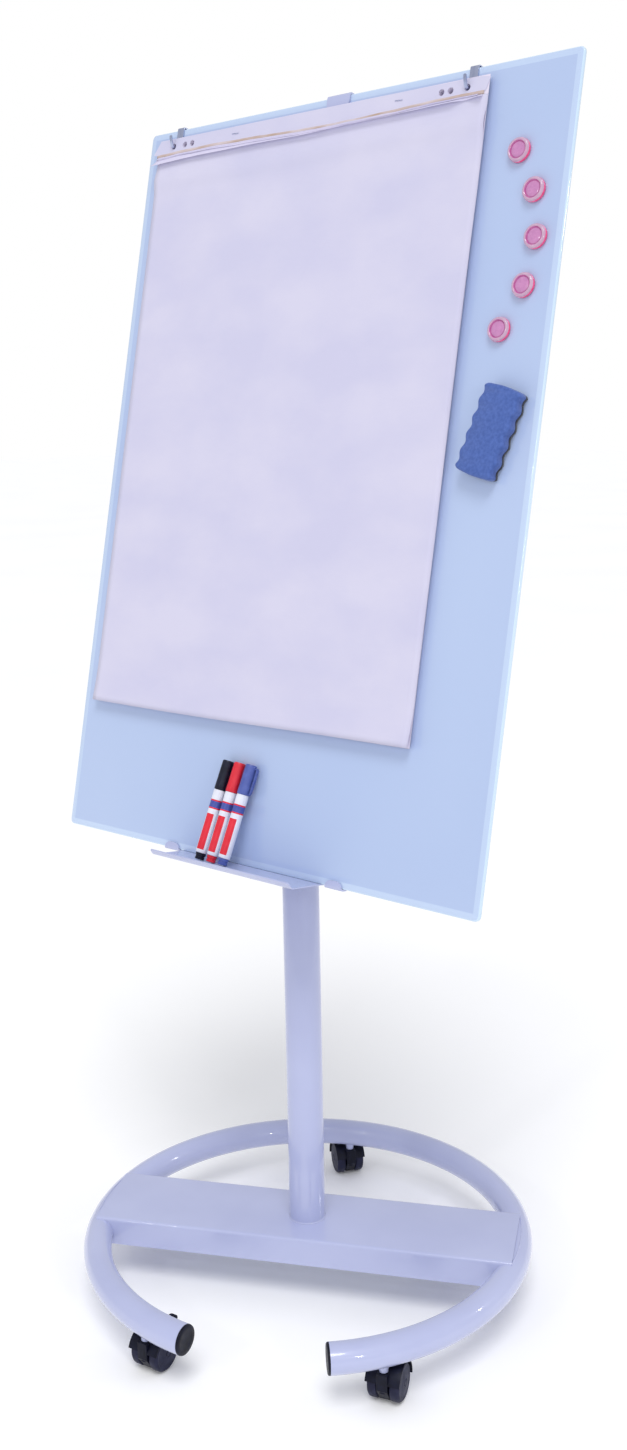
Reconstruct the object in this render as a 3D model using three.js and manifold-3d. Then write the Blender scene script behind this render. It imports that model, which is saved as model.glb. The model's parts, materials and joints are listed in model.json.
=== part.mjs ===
// Mobile flipchart easel: a glass board on a tilting head, a two-part column and a C-shaped castor base,
// with a paper pad on two hooks, magnets, an eraser and three markers in a tray.
// Millimetres, +Z up. The origin is on the floor under the column; the board's front faces -Y.
import * as THREE from 'three';
import { mergeVertices } from 'three/addons/utils/BufferGeometryUtils.js';
import Module from 'manifold-3d';

// ---- driving dimensions ----
const GAP = 0.3; // clearance left between pieces that touch
const BASE_TURN = 27.7; // degrees that the base is turned from the board
const RING_R = 306.5; // base ring: centre-line radius
const TUBE_R = 20; // base ring: tube radius
const TUBE_WALL = 2;
const RING_Z = 76; // height of the ring's centre line
const RING_GAP = 18.35; // degrees each side of the front that the ring is open
const BAR_DEPTH = 135;
const BAR_Z = [59.4, 98.8]; // crossbar: underside and top
const BAR_WALL = 3;
const COLUMN_R = 26;
const COLUMN_TOP = 662;
const COLUMN_WALL = 2.2;
const COLLAR = { r: 31, top: 690, spigot: 636 }; // bush in the mouth of the outer column
const KNOB_Z = 676; // height of the knob that clamps the mast
const MAST_R = 19;
const MAST_WALL = 2;
const MAST_Z = [300, 820];
const BOLT_R = 5; // foot bolt and tilt bolt
const BOLT_BORE = 5.3;
const FOOT_BORE = 6.6; // crossbar and ballast, round the foot bolt
const BALLAST = { half: [200, 60], bottom: 62 };
const FORK = { r: 20, top: 831, spigot: 796, ear: 14, earX: 12.5, earThick: 6 };
const PIVOT_Z = 860; // height of the tilt hinge
const BOARD = { w: 746, h: 1050, thick: 6, corner: 8, lean: 12.26, y: -103.7, z: 655 };
const FRAME_Y = [11, 23]; // board's back frame, measured from the glass's front
const FRAME_WALL = 1.5;
const BACKING = { inset: 8, edge: 10, thick: 0.8 }; // steel sheet behind the glass that magnets hold to
const CLIP = { thick: 2.5, leg: 45 };
const TOP_CLIP = { x: -5, w: 40, tab: 18, corner: [10, 10] };
const BOTTOM_CLIP = { x: 149, w: 28, tab: 8.5, corner: [14, 8.5] };
const TRAY = { half: 127.5, depth: 58, drop: 3.5, lip: 8.2, rise: 7.9, sheet: 1.5, back: 3.2 };
const TRAY_BACK = { up: 40, under: 0.5 }; // its rear upstand, and its gap under the glass
const TRAY_HOLES = { x: [-12, 121], y: -5, r: 2 };
const PAD = { x: -46, w: 592, top: 1032.5, h: 841, back: -3.5, front: -11 };
const HOOK_X = [-311, 216];
const HOOK = { w: 13, prong: 5, thick: 1.4 };
const PUNCH = { half: 5, z: [1015.5, 1026.5] }; // holes in the pad that the hooks pass through
const SHEET_TOP = 1011; // where the front sheet leaves the pad's header
const CASTOR_SPREAD = 31.6; // degrees each side of the front of the two front castors
const WHEEL_R = 25;
const TRAIL = 18; // castor: stem to axle
const HOOD = { inner: 26.2, outer: 28, half: 23.5, web: 7.6, top: 46.8 };
const HOOD_WEB = [[-9, 46.8], [-9, 22], [4, 6]]; // the web's edge round the stem
const PEDAL = { line: [[47, 27], [44.2, 38], [50, 43.5], [58, 46.5], [63, 47.5]], thick: 2.2, half: 7 };
const WHEEL_X = { inner: 8.4, outer: 23.4, hub: 16 }; // a wheel, measured from the castor's middle
const AXLE_R = 3;
const MAGNET = { r: 15.5, thick: 8, arcX: 157, arcZ: 822, arcR: 180.7, first: 38.1, step: 18.75 };
const ERASER = { x: 313, z: 586, w: 58, h: 114, felt: 5, foam: 15, turn: 16.8, corner: 6 };
const MARKER = { r: 8.3, barrel: 98, cap: 42, x: [-61.5, -40, -18.5], lean: 10.6, aslant: 3.7 };
const MARKER_FOOT = { out: 35, z: -0.2 }; // where a marker stands in the tray
const rad = THREE.MathUtils.degToRad;

// ---- colours ----
const paint = { color: 0xb4bbe0, roughness: 0.3, metalness: 0.1 };
const glassLook = { color: 0xb6c8e8, roughness: 0.05, metalness: 0 };
const paper = { color: 0xd6d4e6, roughness: 0.9, metalness: 0 };
const steel = { color: 0x9aa0b4, roughness: 0.35, metalness: 0.9 };
const black = { color: 0x1c1f30, roughness: 0.55, metalness: 0 };
const pink = { color: 0xd884b8, roughness: 0.15, metalness: 0 };
const foam = { color: 0x4a6cb0, roughness: 0.9, metalness: 0 };
const white = { color: 0xe6e7f0, roughness: 0.4, metalness: 0 };
const CAP_COLOURS = { black: 0x181b28, red: 0xd8203a, blue: 0x3c52b0 };

// ---- solids ----
const wasm = await Module();
wasm.setup();

function toSolid(geometry) {
  const plain = geometry.clone();
  plain.deleteAttribute('normal');
  plain.deleteAttribute('uv');
  const merged = mergeVertices(plain, 1e-4);
  const mesh = new wasm.Mesh({
    numProp: 3,
    vertProperties: new Float32Array(merged.attributes.position.array),
    triVerts: new Uint32Array(merged.index.array),
  });
  return new wasm.Manifold(mesh);
}

function toGeometry(solid) {
  const mesh = solid.getMesh();
  const geometry = new THREE.BufferGeometry();
  geometry.setAttribute('position', new THREE.BufferAttribute(mesh.vertProperties, 3));
  geometry.setIndex(new THREE.BufferAttribute(mesh.triVerts, 1));
  geometry.computeVertexNormals();
  return geometry;
}

const join = (first, ...rest) => toGeometry(rest.reduce((a, b) => a.add(toSolid(b)), toSolid(first)));
const cut = (first, ...rest) => toGeometry(rest.reduce((a, b) => a.subtract(toSolid(b)), toSolid(first)));

// A box from its lowest to its highest corner.
function block([x0, y0, z0], [x1, y1, z1]) {
  const box = new THREE.BoxGeometry(x1 - x0, y1 - y0, z1 - z0);
  return box.translate((x0 + x1) / 2, (y0 + y1) / 2, (z0 + z1) / 2);
}

// A round bar along Z, hollow if it is given a bore.
function round(r, z0, z1, bore = 0, sides = 24) {
  const shape = new THREE.Shape().absarc(0, 0, r, 0, Math.PI * 2);
  if (bore) shape.holes.push(new THREE.Path().absarc(0, 0, bore, 0, Math.PI * 2, true));
  const options = { depth: z1 - z0, bevelEnabled: false, curveSegments: sides / 2 };
  return new THREE.ExtrudeGeometry(shape, options).translate(0, 0, z0);
}
const alongX = (geometry) => geometry.rotateY(Math.PI / 2);
const alongY = (geometry) => geometry.rotateX(-Math.PI / 2);

// A flat plate whose outline lies in XZ, between two depths in Y.
function plate(shape, y0, y1, curveSegments = 6) {
  const options = { depth: y1 - y0, bevelEnabled: false, curveSegments };
  return new THREE.ExtrudeGeometry(shape, options).rotateX(Math.PI / 2).translate(0, y1, 0);
}

function roundedRect(x0, z0, x1, z1, r) {
  const shape = new THREE.Shape();
  shape.absarc(x1 - r, z0 + r, r, -Math.PI / 2, 0);
  shape.absarc(x1 - r, z1 - r, r, 0, Math.PI / 2);
  shape.absarc(x0 + r, z1 - r, r, Math.PI / 2, Math.PI);
  shape.absarc(x0 + r, z0 + r, r, Math.PI, Math.PI * 1.5);
  return shape;
}

// A shape whose outline lies in YZ, drawn out along X.
function acrossX(shape, x0, x1, curveSegments = 12) {
  const options = { depth: x1 - x0, bevelEnabled: false, curveSegments };
  const turn = new THREE.Matrix4().set(0, 0, 1, x0, 1, 0, 0, 0, 0, 1, 0, 0, 0, 0, 0, 1);
  return new THREE.ExtrudeGeometry(shape, options).applyMatrix4(turn);
}

// A bent sheet: a line of [y, z] points given a thickness to its right, drawn out along X.
function foldedSheet(points, thickness, x0, x1) {
  const line = points.map(([y, z]) => new THREE.Vector2(y, z));
  const normal = (a, b) => new THREE.Vector2(b.y - a.y, a.x - b.x).normalize();
  const other = line.map((p, i) => {
    const before = normal(line[Math.max(i - 1, 0)], line[Math.max(i, 1)]);
    const after = normal(line[Math.min(i, line.length - 2)], line[Math.min(i + 1, line.length - 1)]);
    const middle = before.clone().add(after).normalize();
    return p.clone().addScaledVector(middle, thickness / middle.dot(before));
  });
  return acrossX(new THREE.Shape([...line, ...other.reverse()]), x0, x1);
}

// ---- scene graph ----
const easel = new THREE.Group();
const base = new THREE.Group();
const column = new THREE.Group();
const board = new THREE.Group();
base.rotation.z = rad(BASE_TURN);
board.position.set(0, BOARD.y, BOARD.z);
board.rotation.x = -rad(BOARD.lean);
easel.add(base, column, board);

function add(parent, name, geometry, look) {
  const mesh = new THREE.Mesh(geometry, new THREE.MeshStandardMaterial(look));
  mesh.name = name;
  parent.add(mesh);
  return mesh;
}

// ---- base: ring, crossbar, ballast, caps ----
class RingLine extends THREE.Curve {
  constructor(from, to) {
    super();
    this.from = from;
    this.to = to;
  }
  getPoint(t) {
    const a = rad(this.from + (this.to - this.from) * t);
    return new THREE.Vector3(RING_R * Math.cos(a), RING_R * Math.sin(a), RING_Z);
  }
}

function ringTube(r, bore, from, to, steps, sides) {
  const shape = new THREE.Shape().absarc(0, 0, r, 0, Math.PI * 2);
  if (bore) shape.holes.push(new THREE.Path().absarc(0, 0, bore, 0, Math.PI * 2, true));
  const options = { steps, extrudePath: new RingLine(from, to), curveSegments: sides / 2 };
  return new THREE.ExtrudeGeometry(shape, options);
}

const RING_FROM = -90 + RING_GAP;
const RING_TO = 270 - RING_GAP;
const castorPlaces = [
  { name: 'right', at: -90 + CASTOR_SPREAD, axle: -9.2, brake: true },
  { name: 'left', at: -90 - CASTOR_SPREAD, axle: -19, brake: true },
  { name: 'rear', at: 90, axle: 27.3, brake: false },
];
const BOSS_BOTTOM = 47.5;
const STEM_R = 4;

function onRing(geometry, degrees) {
  const a = rad(degrees);
  return geometry.translate(RING_R * Math.cos(a), RING_R * Math.sin(a), 0);
}

function makeRing() {
  const tube = ringTube(TUBE_R, TUBE_R - TUBE_WALL, RING_FROM, RING_TO, 60, 14);
  const ringBottom = RING_Z - TUBE_R;
  const bosses = castorPlaces.map(({ at }) => {
    const taper = new THREE.CylinderGeometry(7.5, 5.8, ringBottom + 3 - BOSS_BOTTOM, 16);
    taper.rotateX(Math.PI / 2).translate(0, 0, (ringBottom + 3 + BOSS_BOTTOM) / 2);
    return onRing(taper, at);
  });
  const bores = castorPlaces.map(({ at }) => onRing(round(STEM_R + GAP, 40, RING_Z, 0, 12), at));
  return cut(join(tube, ...bosses), ...bores);
}

function makeCrossbar() {
  const half = BAR_DEPTH / 2;
  const reach = RING_R + 5; // the ends lap over the crown of the ring tube
  const corner = Math.asin(half / reach);
  const outline = new THREE.Shape();
  outline.absarc(0, 0, reach, -corner, corner);
  outline.absarc(0, 0, reach, Math.PI - corner, Math.PI + corner);
  const options = { depth: BAR_Z[1] - BAR_Z[0], bevelEnabled: false, curveSegments: 8 };
  const bar = new THREE.ExtrudeGeometry(outline, options).translate(0, 0, BAR_Z[0]);
  const channel = block([-400, -half + BAR_WALL, 0], [400, half - BAR_WALL, BAR_Z[1] - BAR_WALL]);
  const saddles = [-20, 160].map((a) => ringTube(TUBE_R + 0.4, 0, a, a + 40, 14, 14));
  return cut(bar, channel, ...saddles, round(FOOT_BORE, 0, 120, 0, 16));
}
add(base, 'base_ring', makeRing(), paint);
add(base, 'crossbar', makeCrossbar(), paint);
const [ballastX, ballastY] = BALLAST.half;
const ballastTop = BAR_Z[1] - BAR_WALL - GAP;
const ballast = block([-ballastX, -ballastY, BALLAST.bottom], [ballastX, ballastY, ballastTop]);
add(base, 'ballast_plate', cut(ballast, round(FOOT_BORE, 0, 120, 0, 16)), steel);

function makeEndCap() {
  const plug = round(TUBE_R - TUBE_WALL - 1, 0, 8, 12, 14);
  const lid = new THREE.CylinderGeometry(TUBE_R - 1.2, TUBE_R, 3, 14);
  return join(lid.rotateX(-Math.PI / 2).translate(0, 0, -1.5 - GAP), plug.translate(0, 0, -0.5));
}
for (const [name, at, turn] of [['end_cap_right', RING_FROM, 0], ['end_cap_left', RING_TO, 180]]) {
  const cap = add(base, name, alongY(makeEndCap()), black);
  cap.position.set(RING_R * Math.cos(rad(at)), RING_R * Math.sin(rad(at)), RING_Z);
  cap.rotation.z = rad(at + turn);
}

// ---- castors: stem, hood, twin wheels on one axle, brake lever on the front two ----
function makeHood() {
  const centre = new THREE.Vector2(TRAIL, WHEEL_R); // the axle, in the hood's own (y, z)
  const shell = new THREE.Shape();
  shell.absarc(centre.x, centre.y, HOOD.outer, rad(-8), rad(165));
  shell.absarc(centre.x, centre.y, HOOD.inner, rad(165), rad(-8), true);
  const web = new THREE.Shape();
  web.absarc(centre.x, centre.y, HOOD.outer - 1, rad(-60), rad(100));
  HOOD_WEB.forEach(([y, z]) => web.lineTo(y, z));
  const guard = acrossX(shell, -HOOD.half, HOOD.half, 14);
  const middle = acrossX(web, -HOOD.web, HOOD.web, 14);
  const notch = block([-20, -40, HOOD.top], [20, 10.5, 60]);
  const stemBore = round(STEM_R + 0.2, 14, 60, 0, 12);
  const axleBore = alongX(round(AXLE_R + GAP, -30, 30, 0, 12)).translate(0, TRAIL, WHEEL_R);
  return cut(join(guard, middle), notch, stemBore, axleBore);
}

function makeWheel(side) {
  const sides = 20;
  const flat = 1 / Math.cos(Math.PI / sides); // lifts the corners so that the flats sit at the radius
  const { inner, outer, hub } = WHEEL_X;
  const bore = AXLE_R + 0.4;
  const tread = WHEEL_R * flat;
  const profile = [[0, hub], [bore, hub], [bore, inner], [WHEEL_R - 1.5, inner], [tread, inner + 1.2]];
  profile.push([tread, outer - 4.9], [WHEEL_R - 3.5, outer - 1.6], [12, outer - 0.2], [0, outer]);
  const points = profile.map(([r, x]) => new THREE.Vector2(r, x));
  const wheel = new THREE.LatheGeometry(points, sides).rotateY(Math.PI / sides);
  return side > 0 ? wheel.rotateZ(-Math.PI / 2) : wheel.rotateZ(Math.PI / 2);
}

function makeBrake() {
  return foldedSheet(PEDAL.line, PEDAL.thick, -PEDAL.half, PEDAL.half);
}

for (const { name, at, axle, brake } of castorPlaces) {
  const castor = new THREE.Group();
  const a = rad(at);
  castor.position.set(RING_R * Math.cos(a), RING_R * Math.sin(a), 0);
  castor.rotation.z = rad(axle);
  base.add(castor);
  add(castor, `castor_${name}_stem`, round(STEM_R, 16, RING_Z - 2, 0, 12), steel);
  add(castor, `castor_${name}_hood`, makeHood(), black);
  const pinEnd = WHEEL_X.hub - 0.5;
  const pin = alongX(round(AXLE_R, -pinEnd, pinEnd, 0, 10)).translate(0, TRAIL, WHEEL_R);
  add(castor, `castor_${name}_axle`, pin, steel);
  for (const [end, side] of [['a', -1], ['b', 1]]) {
    const wheel = add(castor, `castor_${name}_wheel_${end}`, makeWheel(side), black);
    wheel.position.set(0, TRAIL, WHEEL_R);
  }
  if (brake) add(castor, `castor_${name}_brake`, makeBrake(), black);
}

// ---- column: outer tube on a foot plug, collar bush with a clamp knob ----
const BAR_TOP = BAR_Z[1];
const PLUG_TOP = 130;
const boltHead = round(11, 53.4, 61.7, 0, 6);
const boltNut = round(9, PLUG_TOP + GAP, PLUG_TOP + 7, 0, 6);
const footBolt = join(round(BOLT_R, 60, PLUG_TOP + 4, 0, 12), boltHead, boltNut);
add(base, 'foot_bolt', footBolt, steel);
const outerTube = round(COLUMN_R, BAR_TOP + GAP, COLUMN_TOP, COLUMN_R - COLUMN_WALL);
add(column, 'outer_column', outerTube, paint);
const INSIDE_R = COLUMN_R - COLUMN_WALL - 0.4; // what slides into the outer column
const footPlug = round(INSIDE_R, BAR_TOP + GAP, PLUG_TOP, BOLT_BORE, 20);
add(column, 'foot_plug', footPlug, steel);

function makeBush() {
  const collar = round(COLLAR.r, COLUMN_TOP + GAP, COLLAR.top, MAST_R + 0.4);
  const spigot = round(INSIDE_R, COLLAR.spigot, COLUMN_TOP + 1, MAST_R + 0.4);
  return cut(join(collar, spigot), alongY(round(STEM_R + GAP, 10, 40, 0, 12)).translate(0, 0, KNOB_Z));
}
add(column, 'column_bush', makeBush(), black);

function starKnob(r, depth) {
  const lobes = 6;
  const shape = new THREE.Shape();
  const steps = lobes * 6;
  for (let i = 0; i < steps; i += 1) {
    const a = (i / steps) * Math.PI * 2;
    const reach = r * (0.9 + 0.1 * Math.cos(lobes * a));
    if (i === 0) shape.moveTo(reach, 0);
    else shape.lineTo(reach * Math.cos(a), reach * Math.sin(a));
  }
  return new THREE.ExtrudeGeometry(shape, { depth, bevelEnabled: false });
}
const heightKnob = join(starKnob(19, 18).translate(0, 0, 34), round(STEM_R, MAST_R + GAP, 36, 0, 12));
add(column, 'height_knob', alongY(heightKnob), black).position.set(0, 0, KNOB_Z);

// ---- mast: inner tube, glide, forked head ----
const MAST_INSIDE = MAST_R - MAST_WALL - 0.4; // what plugs into the mast's ends
add(column, 'inner_column', round(MAST_R, ...MAST_Z, MAST_R - MAST_WALL), steel);
const glideFoot = round(INSIDE_R + 0.1, MAST_Z[0] - 16, MAST_Z[0] - GAP, 8);
const glide = join(glideFoot, round(MAST_INSIDE, MAST_Z[0] - 8, MAST_Z[0] + 20, 8));
add(column, 'inner_glide', glide, black);

const boltHole = () => alongX(round(BOLT_BORE, -30, 30, 0, 12));

function makeHead() {
  const cap = join(round(FORK.r, MAST_Z[1] + GAP, FORK.top), round(MAST_INSIDE, FORK.spigot, MAST_Z[1] + 2));
  const ear = new THREE.Shape();
  ear.moveTo(-FORK.ear, FORK.top - 2);
  ear.lineTo(FORK.ear, FORK.top - 2);
  ear.absarc(0, PIVOT_Z, FORK.ear, 0, Math.PI);
  const starts = [-FORK.earX - FORK.earThick, FORK.earX];
  const ears = starts.map((x) => acrossX(ear, x, x + FORK.earThick, 10));
  return cut(join(cap, ...ears), boltHole().translate(0, 0, PIVOT_Z));
}
add(column, 'tilt_head', makeHead(), black);
const bolt = join(round(BOLT_R, -20, 30, 0, 12), round(9, -25, -18.9, 0, 6));
add(column, 'tilt_bolt', alongX(bolt).translate(0, 0, PIVOT_Z), steel);
const tiltKnob = cut(starKnob(17, 15), round(BOLT_BORE, -1, 8, 0, 12));
add(column, 'tilt_knob', alongX(tiltKnob), black).position.set(23, 0, PIVOT_Z);

// ---- board: everything below is in the board's own frame, with +Z up its face and -Y out of it ----
const toBoard = new THREE.Vector3(0, 0, PIVOT_Z);
board.updateMatrixWorld(true);
board.worldToLocal(toBoard);
const PIVOT = { y: toBoard.y, z: toBoard.z };

function makeTiltBracket() {
  const back = block([-32, FRAME_Y[1] + GAP, PIVOT.z - 26], [32, FRAME_Y[1] + 5, PIVOT.z + 40]);
  const armX = FORK.earX - 0.5; // the arm and its knuckle stand between the fork's ears
  const arm = block([-armX, FRAME_Y[1] + 4, PIVOT.z - 10], [armX, PIVOT.y, PIVOT.z + 10]);
  const knuckle = alongX(round(FORK.ear - 0.5, -armX, armX)).translate(0, PIVOT.y, PIVOT.z);
  return cut(join(back, arm, knuckle), boltHole().translate(0, PIVOT.y, PIVOT.z));
}
add(board, 'tilt_bracket', makeTiltBracket(), steel);

// A rectangular steel tube with open ends, between two corners; long says which way it runs.
function boxTube(low, high, long) {
  const inLow = low.map((v, i) => (i === long ? v - 1 : v + FRAME_WALL));
  const inHigh = high.map((v, i) => (i === long ? v + 1 : v - FRAME_WALL));
  return cut(block(low, high), block(inLow, inHigh));
}
const spine = boxTube([-20, FRAME_Y[0], 46.5], [20, FRAME_Y[1], BOARD.h - 6], 2);
const bottomBar = boxTube([-175, FRAME_Y[0], 8], [175, FRAME_Y[1], 46], 0);
add(board, 'spine', spine, paint);
add(board, 'bottom_bar', bottomBar, paint);

const halfW = BOARD.w / 2;
const pane = roundedRect(-halfW, 0, halfW, BOARD.h, BOARD.corner);
add(board, 'glass_panel', plate(pane, 0, BOARD.thick), glassLook);
const backW = halfW - BACKING.inset;
const backing = roundedRect(-backW, BACKING.edge, backW, BOARD.h - BACKING.edge, 5);
const backY = BOARD.thick + GAP;
add(board, 'steel_backing', plate(backing, backY, backY + BACKING.thick), paint);

// A clip folds over the glass's edge: a round-cornered tab in front, a web past the edge, a leg behind.
function makeClip({ x, w, tab, corner: [across, along] }, up) {
  const half = w / 2;
  const edge = up > 0 ? BOARD.h + GAP : -GAP;
  const turn = edge - up * (tab - along); // where the tab's straight sides end
  const quarter = -up * Math.PI / 2;
  const front = new THREE.Shape();
  front.moveTo(x - half, edge + up * 0.5);
  front.lineTo(x + half, edge + up * 0.5);
  front.absellipse(x + half - across, turn, across, along, 0, quarter, up > 0);
  front.absellipse(x - half + across, turn, across, along, quarter, 2 * quarter, up > 0);
  const y0 = -GAP - CLIP.thick;
  const y1 = FRAME_Y[0] - GAP;
  const span = (a, b) => [Math.min(a, b), Math.max(a, b)];
  const end = edge + up * CLIP.thick;
  const [low, high] = span(edge, end);
  const web = block([x - half, y0, low], [x + half, y1, high]);
  const [legLow, legHigh] = span(end, end - up * CLIP.leg);
  const leg = block([x - half, y1 - CLIP.thick, legLow], [x + half, y1, legHigh]);
  return join(plate(front, y0, -GAP), web, leg);
}
add(board, 'top_clip', makeClip(TOP_CLIP, 1), paint);
add(board, 'bottom_clip_left', makeClip({ ...BOTTOM_CLIP, x: -BOTTOM_CLIP.x }, -1), paint);
add(board, 'bottom_clip_right', makeClip(BOTTOM_CLIP, -1), paint);

function makeTray() {
  const back = BOARD.thick + TRAY.back;
  const front = -TRAY.drop - TRAY.sheet;
  const line = [[back, TRAY_BACK.up], [back, -TRAY_BACK.under - TRAY.sheet], [-TRAY.depth, front]];
  line.push([-TRAY.depth - TRAY.lip, front + TRAY.rise]);
  const sheet = foldedSheet(line, TRAY.sheet, -TRAY.half, TRAY.half);
  const holes = TRAY_HOLES.x.map((x) => round(TRAY_HOLES.r, -10, 5, 0, 8).translate(x, TRAY_HOLES.y, 0));
  return cut(sheet, ...holes);
}
add(board, 'marker_tray', makeTray(), paint);

// ---- pad: two hooks over the glass, a card back, the block of sheets, the loose front sheet ----
function makeHook(x) {
  const strap = [[10.4, 1000], [10.4, BOARD.h + 3.2], [-1.8, BOARD.h + 3.2], [-1.8, 1019]];
  const wide = foldedSheet(strap, -HOOK.thick, x - HOOK.w / 2, x + HOOK.w / 2);
  const prong = [[-0.7, 1023.5], [-8, 1019.5], [-14, 1021], [-19, 1028], [-21, 1036]];
  return join(wide, foldedSheet(prong, HOOK.thick, x - HOOK.prong / 2, x + HOOK.prong / 2));
}
HOOK_X.forEach((x, i) => {
  add(board, ['hook_left', 'hook_right'][i], makeHook(x), steel);
});

function padSlab(y0, y1, top) {
  const low = PAD.top - PAD.h;
  const slab = block([PAD.x - PAD.w / 2, y0, low], [PAD.x + PAD.w / 2, y1, top]);
  const [holeLow, holeHigh] = PUNCH.z;
  if (top < holeHigh) return slab;
  const punch = (x) => block([x - PUNCH.half, y0 - 5, holeLow], [x + PUNCH.half, y1 + 5, holeHigh]);
  return cut(slab, ...HOOK_X.map(punch));
}
add(board, 'pad_card_back', padSlab(PAD.back - 1.2, PAD.back, PAD.top), { ...paper, color: 0x9a8f86 });
add(board, 'pad_sheets', padSlab(PAD.front, PAD.back - 1.5, PAD.top), paper);
add(board, 'front_sheet', padSlab(PAD.front - 1, PAD.front - GAP, SHEET_TOP), paper);

// ---- magnets on an arc beside the pad, and the eraser ----
for (let i = 0; i < 5; i += 1) {
  const a = rad(MAGNET.first - MAGNET.step * i);
  const puck = round(MAGNET.r, GAP, MAGNET.thick, 0, 20).rotateX(Math.PI / 2);
  const magnet = add(board, `magnet_${i + 1}`, puck, pink);
  magnet.position.set(MAGNET.arcX + MAGNET.arcR * Math.cos(a), 0, MAGNET.arcZ + MAGNET.arcR * Math.sin(a));
}

const eraser = new THREE.Group();
eraser.position.set(ERASER.x, 0, ERASER.z);
eraser.rotation.y = rad(ERASER.turn);
board.add(eraser);
const eraserOutline = roundedRect(-ERASER.w / 2, -ERASER.h / 2, ERASER.w / 2, ERASER.h / 2, ERASER.corner);
const feltFront = -GAP - ERASER.felt;
add(eraser, 'eraser_felt', plate(eraserOutline, feltFront, -GAP), black);
add(eraser, 'eraser_body', plate(eraserOutline, feltFront - GAP - ERASER.foam, feltFront - GAP), foam);

// ---- markers leaning in the tray: barrel with its nib, and a cap over the nib ----
function makeBarrel() {
  const noseTop = MARKER.barrel + 16;
  const plug = [[0, 0], [6.2, 0], [7, 9]];
  const tube = [[MARKER.r, 9.2], [MARKER.r, MARKER.barrel], [6.2, MARKER.barrel]];
  const nib = [[5, noseTop], [2.6, noseTop], [2.2, noseTop + 7], [0, noseTop + 9]];
  const outline = [...plug, ...tube, ...nib];
  const points = outline.map(([r, z]) => new THREE.Vector2(r, z));
  return new THREE.LatheGeometry(points, 16).rotateX(Math.PI / 2);
}

function makeCap() {
  const end = MARKER.barrel + MARKER.cap;
  const start = MARKER.barrel + GAP;
  const outside = [[MARKER.r + 0.4, start], [MARKER.r - 0.4, end], [0, end]];
  const outline = [[7, start], ...outside, [0, end - 3], [7, end - 3], [7, start]];
  const points = outline.map(([r, z]) => new THREE.Vector2(r, z));
  return new THREE.LatheGeometry(points, 16).rotateX(Math.PI / 2);
}
Object.entries(CAP_COLOURS).forEach(([name, color], i) => {
  const marker = new THREE.Group();
  marker.position.set(MARKER.x[i], -MARKER_FOOT.out, MARKER_FOOT.z);
  marker.rotation.set(-rad(MARKER.lean), rad(MARKER.aslant), 0, 'YXZ');
  board.add(marker);
  add(marker, `marker_${name}_barrel`, makeBarrel(), white);
  add(marker, `marker_${name}_cap`, makeCap(), { color, roughness: 0.35, metalness: 0 });
});

export default easel;
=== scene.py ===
# Looks for the flipchart easel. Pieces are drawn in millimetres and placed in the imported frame.
import json
import math
import random

import bmesh
import bpy
from mathutils import Matrix, Vector, noise


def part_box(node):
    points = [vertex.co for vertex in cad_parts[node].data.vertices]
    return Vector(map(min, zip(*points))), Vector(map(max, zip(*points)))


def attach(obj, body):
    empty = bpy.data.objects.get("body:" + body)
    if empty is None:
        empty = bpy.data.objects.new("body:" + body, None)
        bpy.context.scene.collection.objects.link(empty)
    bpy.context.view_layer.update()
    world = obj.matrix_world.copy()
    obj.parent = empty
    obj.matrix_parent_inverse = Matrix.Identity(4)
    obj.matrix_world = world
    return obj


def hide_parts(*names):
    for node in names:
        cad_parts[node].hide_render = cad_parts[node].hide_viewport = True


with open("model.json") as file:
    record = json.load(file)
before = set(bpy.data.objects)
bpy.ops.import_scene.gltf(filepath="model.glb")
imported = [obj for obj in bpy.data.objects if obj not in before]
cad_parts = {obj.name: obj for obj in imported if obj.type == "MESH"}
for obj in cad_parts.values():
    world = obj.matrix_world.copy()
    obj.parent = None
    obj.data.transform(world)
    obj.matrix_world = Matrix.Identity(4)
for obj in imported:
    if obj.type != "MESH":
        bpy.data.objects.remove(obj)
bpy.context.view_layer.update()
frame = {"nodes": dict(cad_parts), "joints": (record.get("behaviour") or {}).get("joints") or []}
random.seed(11)

scene = bpy.context.scene
TO_METRES = Matrix.Scale(0.001, 4)

# ---- places, read from the frame ----
joints = {j["name"]: j for j in frame["joints"]}
GLASS_W, GLASS_H, GLASS_T = 746, 1050, 6
RING_R, TUBE_R, RING_Z = 306.5, 20, 76
RING_GAP = 18.35  # degrees each side of the front
CASTORS = ("right", "left", "rear")
TRAIL, WHEEL_R = 18, 25  # the axle's distance behind a castor's stem, and its height
KNOB_Z = 676  # the knob that clamps the mast


def frame_matrix(x, y, z, origin):
    """Local millimetres to the row frame, from three axes and an origin in metres."""
    turn = Matrix((x, y, z)).transposed().to_4x4()
    return Matrix.Translation(origin) @ turn @ TO_METRES


def board_frame():
    """The board's own frame: x along the glass, y into it, z up it, from its bottom edge's middle."""
    out = Vector(joints["magnet_1_pull"]["axis"]).normalized()
    across = Vector((1, 0, 0))
    up = out.cross(across)
    low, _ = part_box("glass_panel")
    edge = Vector((0, low.y, low.z + out.z * GLASS_T / 1000))
    return frame_matrix(across, -out, up, edge)


def castor_frame(name):
    """A castor's own frame: x along its axle, y the way it trails, z up from the floor."""
    stem = Vector(joints[f"castor_{name}_swivel"]["pos_m"])
    axle = Vector(joints[f"wheel_{name}_a_spin"]["axis"])
    up = Vector((0, 0, 1))
    return frame_matrix(axle, up.cross(axle), up, Vector((stem.x, stem.y, 0)))


BOARD = board_frame()
rear = joints["castor_rear_swivel"]["pos_m"]
BASE_TURN = math.atan2(rear[1], rear[0]) - math.pi / 2
BASE = Matrix.Rotation(BASE_TURN, 4, "Z") @ TO_METRES
WORLD = TO_METRES
PIVOT_Z = joints["board_tilt"]["pos_m"][2] * 1000


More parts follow.
